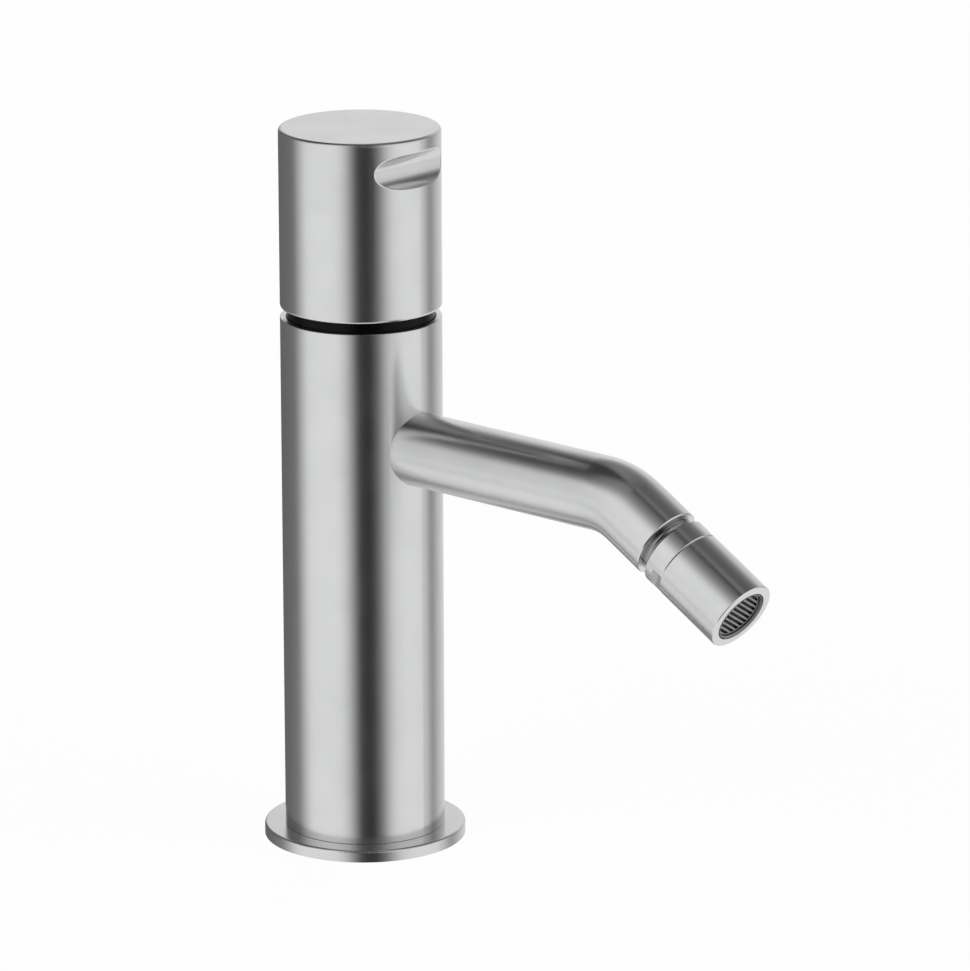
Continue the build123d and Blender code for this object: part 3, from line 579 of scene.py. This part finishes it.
# How white the tent is round the compass, as the metal mirrors it: pairs of a direction in degrees
# from +X towards +Y and a level. The camera stands at 312 degrees, where the tent is dark. Behind
# the mixer a wide dark cloth hangs on the left, about 170, and a narrow grey one on the right,
# about 70.
floor_ring = [(0, 0.95), (60, 1.0), (118, 0.90), (130, 0.26), (190, 0.30), (203, 0.68), (215, 0.90),
              (250, 1.0)]
low_ring = [(0, 0.95), (60, 1.0), (131, 0.90), (148, 0.32), (170, 0.25), (190, 0.60), (206, 0.88),
            (218, 0.97), (250, 1.0), (285, 0.9), (303, 0.05), (330, 0.05), (350, 0.85)]
wall_ring = [(0, 0.92), (15, 1.0), (44, 0.98), (69, 0.29), (90, 0.68), (131, 0.92), (134, 0.13),
             (205, 0.20), (231, 0.97), (250, 1.0), (278, 1.0), (290, 0.80), (308, 0.05),
             (326, 0.02), (338, 0.18), (352, 0.72)]
high_ring = [(0, 0.86), (15, 0.95), (44, 0.92), (69, 0.27), (90, 0.64), (128, 0.92), (142, 0.80),
             (158, 0.14), (205, 0.20), (226, 0.78), (250, 1.0), (278, 1.0), (290, 0.76),
             (306, 0.11), (324, 0.07), (338, 0.26), (352, 0.68)]
whole_turn = 360.0

# The elevations in degrees between which one ring passes into the next
floor_to_low = (-52.0, -44.0)
low_to_wall = (-28.0, -19.0)
wall_to_high = (-6.0, 2.0)

# The grey cloth over the mixer, on a ceiling one unit up, with right along +X and back along +Y:
# the middle of each soft edge and its softness, how far the front edge runs back for each unit to
# the right, how much light the cloth takes, and the least rise that a direction counts as having
cloth_left = -1.2
cloth_left_softness = 0.35
cloth_right = 1.3
cloth_right_softness = 0.5
cloth_front = -0.88
cloth_front_softness = 0.5
cloth_front_slant = 0.39
cloth_back = 1.5
cloth_back_softness = 0.9
cloth_depth = 0.73
horizon_rise = 0.05


def ring_level(net, compass, stops):
    """How white a ring of the tent is at a compass direction, straight between its stops."""
    ramp = net.make("ShaderNodeValToRGB", {0: net.maths("DIVIDE", compass, whole_turn)})
    elements = ramp.color_ramp.elements
    elements.remove(elements[1])
    elements[0].position = stops[0][0] / whole_turn
    elements[0].color = grey(stops[0][1])
    for direction, level in stops[1:] + [(whole_turn, stops[0][1])]:
        elements.new(direction / whole_turn).color = grey(level)
    return ramp.outputs[0]


def make_studio():
    """A white tent all round. The camera sees it plain white, and reflections see its cloths."""
    world = bpy.data.worlds.new("studio")
    bpy.context.scene.world = world
    world.use_nodes = True
    net = Net(world.node_tree)
    x, y, z = net.parts(net.make("ShaderNodeTexCoord").outputs["Generated"])
    compass = net.maths("DEGREES", net.maths("ARCTAN2", y, x))
    compass = net.maths("WRAP", compass, whole_turn, 0.0)
    elevation = net.maths("DEGREES", net.maths("ARCSINE", z))
    tent = ring_level(net, compass, floor_ring)
    rings_above = [(floor_to_low, low_ring), (low_to_wall, wall_ring), (wall_to_high, high_ring)]
    for between, stops in rings_above:
        share = net.ramp(elevation, *between, 0.0, 1.0)
        tent = net.tint(share, tent, ring_level(net, compass, stops))
    rise = net.maths("MAXIMUM", z, horizon_rise)
    right = net.maths("DIVIDE", x, rise)
    back = net.maths("DIVIDE", y, rise)
    slanted = net.maths("SUBTRACT", back, net.maths("MULTIPLY", right, cloth_front_slant))
    edges = [(right, cloth_left, cloth_left_softness), (right, cloth_right, -cloth_right_softness),
             (slanted, cloth_front, cloth_front_softness), (back, cloth_back, -cloth_back_softness)]
    cloth = cloth_depth
    for place, middle, softness in edges:
        side = net.ramp(place, middle - softness, middle + softness, 0.0, 1.0, "SMOOTHSTEP")
        cloth = net.maths("MULTIPLY", cloth, side)
    level = net.tint(cloth, tent, grey(0.0))
    seen = net.make("ShaderNodeLightPath").outputs["Is Camera Ray"]
    background = world.node_tree.nodes["Background"].inputs
    net.feed(net.tint(seen, level, grey(1.0)), background["Color"])
    background["Strength"].default_value = 1.0


def make_floor():
    """A plain white floor that keeps the object's shadow, seen through from below. Its grey gives
    back little of the tent's light, and its glow for the camera makes the rest of the white."""
    side = floor_half_side
    corners = [(-side, -side, -floor_drop), (side, -side, -floor_drop), (side, side, -floor_drop),
               (-side, side, -floor_drop)]
    mesh = bpy.data.meshes.new("floor")
    mesh.from_pydata(corners, [], [(0, 1, 2, 3)])
    material = bpy.data.materials.new("floor_white")
    material.use_nodes = True
    net = Net(material.node_tree)
    shader = material.node_tree.nodes["Principled BSDF"]
    shader.inputs["Base Color"].default_value = floor_shade
    shader.inputs["Roughness"].default_value = 1.0
    shader.inputs["Specular IOR Level"].default_value = 0.0
    seen = net.make("ShaderNodeLightPath").outputs["Is Camera Ray"]
    shader.inputs["Emission Color"].default_value = grey(1.0)
    net.feed(net.maths("MULTIPLY", seen, floor_glow), shader.inputs["Emission Strength"])
    below = net.make("ShaderNodeNewGeometry").outputs["Backfacing"]
    clear = net.make("ShaderNodeBsdfTransparent").outputs[0]
    joined = net.make("ShaderNodeMixShader", {0: below, 1: shader.outputs[0], 2: clear})
    net.feed(joined.outputs[0], material.node_tree.nodes["Material Output"].inputs["Surface"])
    mesh.materials.append(material)
    floor = bpy.data.objects.new("floor", mesh)
    bpy.context.scene.collection.objects.link(floor)
    floor.visible_glossy = False


materials = make_materials()
dress_nodes()
core_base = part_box("waterway_core")[0].z
thread_base = core_base + thread_lead_in
inlet_top = core_base + inlet_depth
make_thread("hot_inlet_thread", inlet_x, inlet_y, thread_base, inlet_top, inlet_radius)
make_thread("cold_inlet_thread", inlet_x, -inlet_y, thread_base, inlet_top, inlet_radius)
make_thread("stud_thread", stud_x, 0.0, thread_base, core_base + stud_hole_depth, stud_hole_radius)
make_gasket()
make_studio()
make_floor()
place_camera()

bpy.context.scene.view_settings.view_transform = "Standard"
